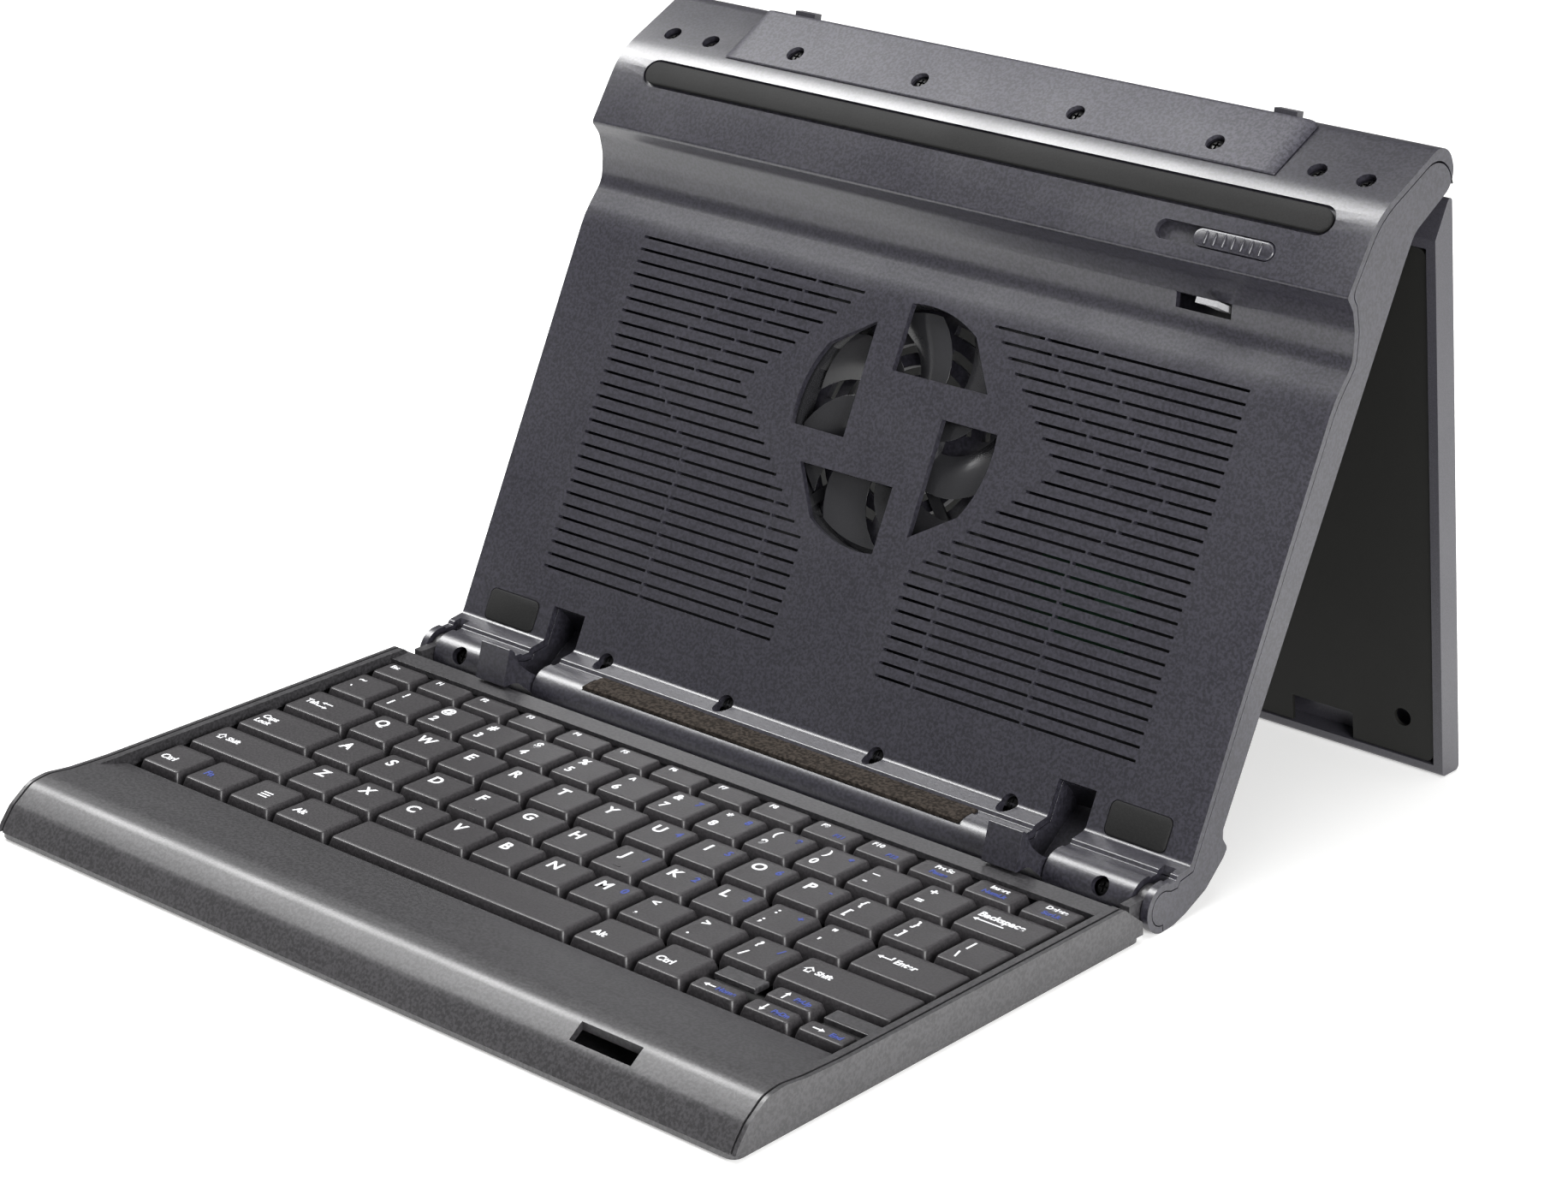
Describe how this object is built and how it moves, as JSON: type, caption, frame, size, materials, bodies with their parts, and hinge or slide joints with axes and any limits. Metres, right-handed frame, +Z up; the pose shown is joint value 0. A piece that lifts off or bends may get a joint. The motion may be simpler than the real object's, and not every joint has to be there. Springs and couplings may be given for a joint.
{
  "type": "folding notebook stand with keyboard",
  "caption": "Folding notebook stand: a keyboard tray hinged to a leaning fan-cooled panel that is propped by a fold-out rear leg, with fold-out support arms.",
  "frame": {"origin": "centre of the open stand's footprint, on the desk", "axes": "+Z up from the desk, +X to the typist's right, +Y away from the typist"},
  "size_m": [0.2864, 0.3235, 0.2004],
  "materials": {
    "shell": "fine moulded texture, satin",
    "deck": "satin moulded plastic",
    "leg_shell": "fine moulded texture",
    "keycap": "matte, slightly textured",
    "rubber": "matte rubber",
    "foam": "open-cell foam",
    "steel": "turned or stamped steel",
    "circuit_board": "solder-masked laminate",
    "fan_plastic": "black moulded plastic",
    "hook": "light grey moulded plastic"
  },
  "bodies": {
    "panel": {"panel_front_shell": "shell", "panel_rear_shell": "shell", "hinge_cover": "shell", "rubber_strip_top": "rubber", "rubber_pad_left": "rubber", "rubber_pad_right": "rubber", "foam_strip": "foam", "fan_frame": "fan_plastic", "fan_axle": "steel", "arm_pin_left": "steel", "arm_pin_right": "steel", "hinge_pin_left": "steel", "hinge_pin_right": "steel", "leg_pin_left": "steel", "leg_pin_right": "steel", "fan_board": "circuit_board", "cover_screw_1": "steel", "cover_screw_2": "steel", "cover_screw_3": "steel", "cover_screw_4": "steel"},
    "keyboard": {"tray_top_frame": "deck", "tray_bottom_cover": "shell", "key_backplate": "steel", "key_membrane": "rubber", "controller_board": "circuit_board", "tray_foot_front_left": "rubber", "tray_foot_front_right": "rubber", "tray_foot_rear_left": "rubber", "tray_foot_rear_right": "rubber"},
    "leg": {"leg_outer_shell": "leg_shell", "leg_inner_cover": "leg_shell", "leg_foot_strip": "rubber"},
    "arm_left": {"support_arm_left": "shell"},
    "arm_right": {"support_arm_right": "shell"},
    "latch": {"latch_button": "shell", "latch_hook": "hook"},
    "fan": {"fan_rotor": "fan_plastic"},
    "key_bank_function_row_body": {"key_bank_function_row": "keycap"},
    "key_bank_number_row_body": {"key_bank_number_row": "keycap"},
    "key_backspace_body": {"key_backspace": "keycap"},
    "key_tab_body": {"key_tab": "keycap"},
    "key_bank_upper_letters_body": {"key_bank_upper_letters": "keycap"},
    "key_caps_lock_body": {"key_caps_lock": "keycap"},
    "key_bank_middle_letters_body": {"key_bank_middle_letters": "keycap"},
    "key_enter_body": {"key_enter": "keycap"},
    "key_shift_left_body": {"key_shift_left": "keycap"},
    "key_bank_lower_letters_body": {"key_bank_lower_letters": "keycap"},
    "key_shift_right_body": {"key_shift_right": "keycap"},
    "key_ctrl_left_body": {"key_ctrl_left": "keycap"},
    "key_fn_body": {"key_fn": "keycap"},
    "key_menu_body": {"key_menu": "keycap"},
    "key_alt_left_body": {"key_alt_left": "keycap"},
    "key_space_body": {"key_space": "keycap"},
    "key_alt_right_body": {"key_alt_right": "keycap"},
    "key_ctrl_right_body": {"key_ctrl_right": "keycap"},
    "key_arrow_left_body": {"key_arrow_left": "keycap"},
    "key_arrow_down_body": {"key_arrow_down": "keycap"},
    "key_arrow_up_body": {"key_arrow_up": "keycap"},
    "key_arrow_right_body": {"key_arrow_right": "keycap"}
  },
  "joints": [
    {"name": "keyboard_fold", "type": "hinge", "parent": "panel", "child": "keyboard", "pos_m": [0, 0.01268, 0.0072], "axis": [-1, 0, 0], "range_deg": [0, 116]},
    {"name": "leg_fold", "type": "hinge", "parent": "panel", "child": "leg", "pos_m": [0, 0.12992, 0.19123], "axis": [-1, 0, 0], "range_deg": [0, 34.4]},
    {"name": "arm_left_fold", "type": "hinge", "parent": "panel", "child": "arm_left", "pos_m": [-0.1, 0.01424, 0.00355], "axis": [-1, 0, 0], "range_deg": [0, 104.4]},
    {"name": "arm_right_fold", "type": "hinge", "parent": "panel", "child": "arm_right", "pos_m": [0.1, 0.01424, 0.00355], "axis": [-1, 0, 0], "range_deg": [0, 104.4]},
    {"name": "latch_slide", "type": "slide", "parent": "panel", "child": "latch", "axis": [-1, 0, 0], "range_m": [0, 0.012]},
    {"name": "fan_spin", "type": "hinge", "parent": "panel", "child": "fan", "pos_m": [0, 0.0711, 0.09731], "axis": [0, -0.8988, 0.4384], "continuous": true},
    {"name": "key_bank_function_row_press", "type": "slide", "parent": "keyboard", "child": "key_bank_function_row_body", "axis": [0, 0, -1], "range_m": [0, 0.002], "stiffness_N_per_m": 100, "springref_m": -0.003},
    {"name": "key_bank_number_row_press", "type": "slide", "parent": "keyboard", "child": "key_bank_number_row_body", "axis": [0, 0, -1], "range_m": [0, 0.002], "stiffness_N_per_m": 100, "springref_m": -0.003},
    {"name": "key_backspace_press", "type": "slide", "parent": "keyboard", "child": "key_backspace_body", "axis": [0, 0, -1], "range_m": [0, 0.002], "stiffness_N_per_m": 100, "springref_m": -0.003},
    {"name": "key_tab_press", "type": "slide", "parent": "keyboard", "child": "key_tab_body", "axis": [0, 0, -1], "range_m": [0, 0.002], "stiffness_N_per_m": 100, "springref_m": -0.003},
    {"name": "key_bank_upper_letters_press", "type": "slide", "parent": "keyboard", "child": "key_bank_upper_letters_body", "axis": [0, 0, -1], "range_m": [0, 0.002], "stiffness_N_per_m": 100, "springref_m": -0.003},
    {"name": "key_caps_lock_press", "type": "slide", "parent": "keyboard", "child": "key_caps_lock_body", "axis": [0, 0, -1], "range_m": [0, 0.002], "stiffness_N_per_m": 100, "springref_m": -0.003},
    {"name": "key_bank_middle_letters_press", "type": "slide", "parent": "keyboard", "child": "key_bank_middle_letters_body", "axis": [0, 0, -1], "range_m": [0, 0.002], "stiffness_N_per_m": 100, "springref_m": -0.003},
    {"name": "key_enter_press", "type": "slide", "parent": "keyboard", "child": "key_enter_body", "axis": [0, 0, -1], "range_m": [0, 0.002], "stiffness_N_per_m": 100, "springref_m": -0.003},
    {"name": "key_shift_left_press", "type": "slide", "parent": "keyboard", "child": "key_shift_left_body", "axis": [0, 0, -1], "range_m": [0, 0.002], "stiffness_N_per_m": 100, "springref_m": -0.003},
    {"name": "key_bank_lower_letters_press", "type": "slide", "parent": "keyboard", "child": "key_bank_lower_letters_body", "axis": [0, 0, -1], "range_m": [0, 0.002], "stiffness_N_per_m": 100, "springref_m": -0.003},
    {"name": "key_shift_right_press", "type": "slide", "parent": "keyboard", "child": "key_shift_right_body", "axis": [0, 0, -1], "range_m": [0, 0.002], "stiffness_N_per_m": 100, "springref_m": -0.003},
    {"name": "key_ctrl_left_press", "type": "slide", "parent": "keyboard", "child": "key_ctrl_left_body", "axis": [0, 0, -1], "range_m": [0, 0.002], "stiffness_N_per_m": 100, "springref_m": -0.003},
    {"name": "key_fn_press", "type": "slide", "parent": "keyboard", "child": "key_fn_body", "axis": [0, 0, -1], "range_m": [0, 0.002], "stiffness_N_per_m": 100, "springref_m": -0.003},
    {"name": "key_menu_press", "type": "slide", "parent": "keyboard", "child": "key_menu_body", "axis": [0, 0, -1], "range_m": [0, 0.002], "stiffness_N_per_m": 100, "springref_m": -0.003},
    {"name": "key_alt_left_press", "type": "slide", "parent": "keyboard", "child": "key_alt_left_body", "axis": [0, 0, -1], "range_m": [0, 0.002], "stiffness_N_per_m": 100, "springref_m": -0.003},
    {"name": "key_space_press", "type": "slide", "parent": "keyboard", "child": "key_space_body", "axis": [0, 0, -1], "range_m": [0, 0.002], "stiffness_N_per_m": 100, "springref_m": -0.003},
    {"name": "key_alt_right_press", "type": "slide", "parent": "keyboard", "child": "key_alt_right_body", "axis": [0, 0, -1], "range_m": [0, 0.002], "stiffness_N_per_m": 100, "springref_m": -0.003},
    {"name": "key_ctrl_right_press", "type": "slide", "parent": "keyboard", "child": "key_ctrl_right_body", "axis": [0, 0, -1], "range_m": [0, 0.002], "stiffness_N_per_m": 100, "springref_m": -0.003},
    {"name": "key_arrow_left_press", "type": "slide", "parent": "keyboard", "child": "key_arrow_left_body", "axis": [0, 0, -1], "range_m": [0, 0.002], "stiffness_N_per_m": 100, "springref_m": -0.003},
    {"name": "key_arrow_down_press", "type": "slide", "parent": "keyboard", "child": "key_arrow_down_body", "axis": [0, 0, -1], "range_m": [0, 0.002], "stiffness_N_per_m": 100, "springref_m": -0.003},
    {"name": "key_arrow_up_press", "type": "slide", "parent": "keyboard", "child": "key_arrow_up_body", "axis": [0, 0, -1], "range_m": [0, 0.002], "stiffness_N_per_m": 100, "springref_m": -0.003},
    {"name": "key_arrow_right_press", "type": "slide", "parent": "keyboard", "child": "key_arrow_right_body", "axis": [0, 0, -1], "range_m": [0, 0.002], "stiffness_N_per_m": 100, "springref_m": -0.003}
  ],
  "couplings": [
    {"joint": "arm_left_fold", "follows": "keyboard_fold", "ratio": 0.9},
    {"joint": "arm_right_fold", "follows": "keyboard_fold", "ratio": 0.9}
  ]
}
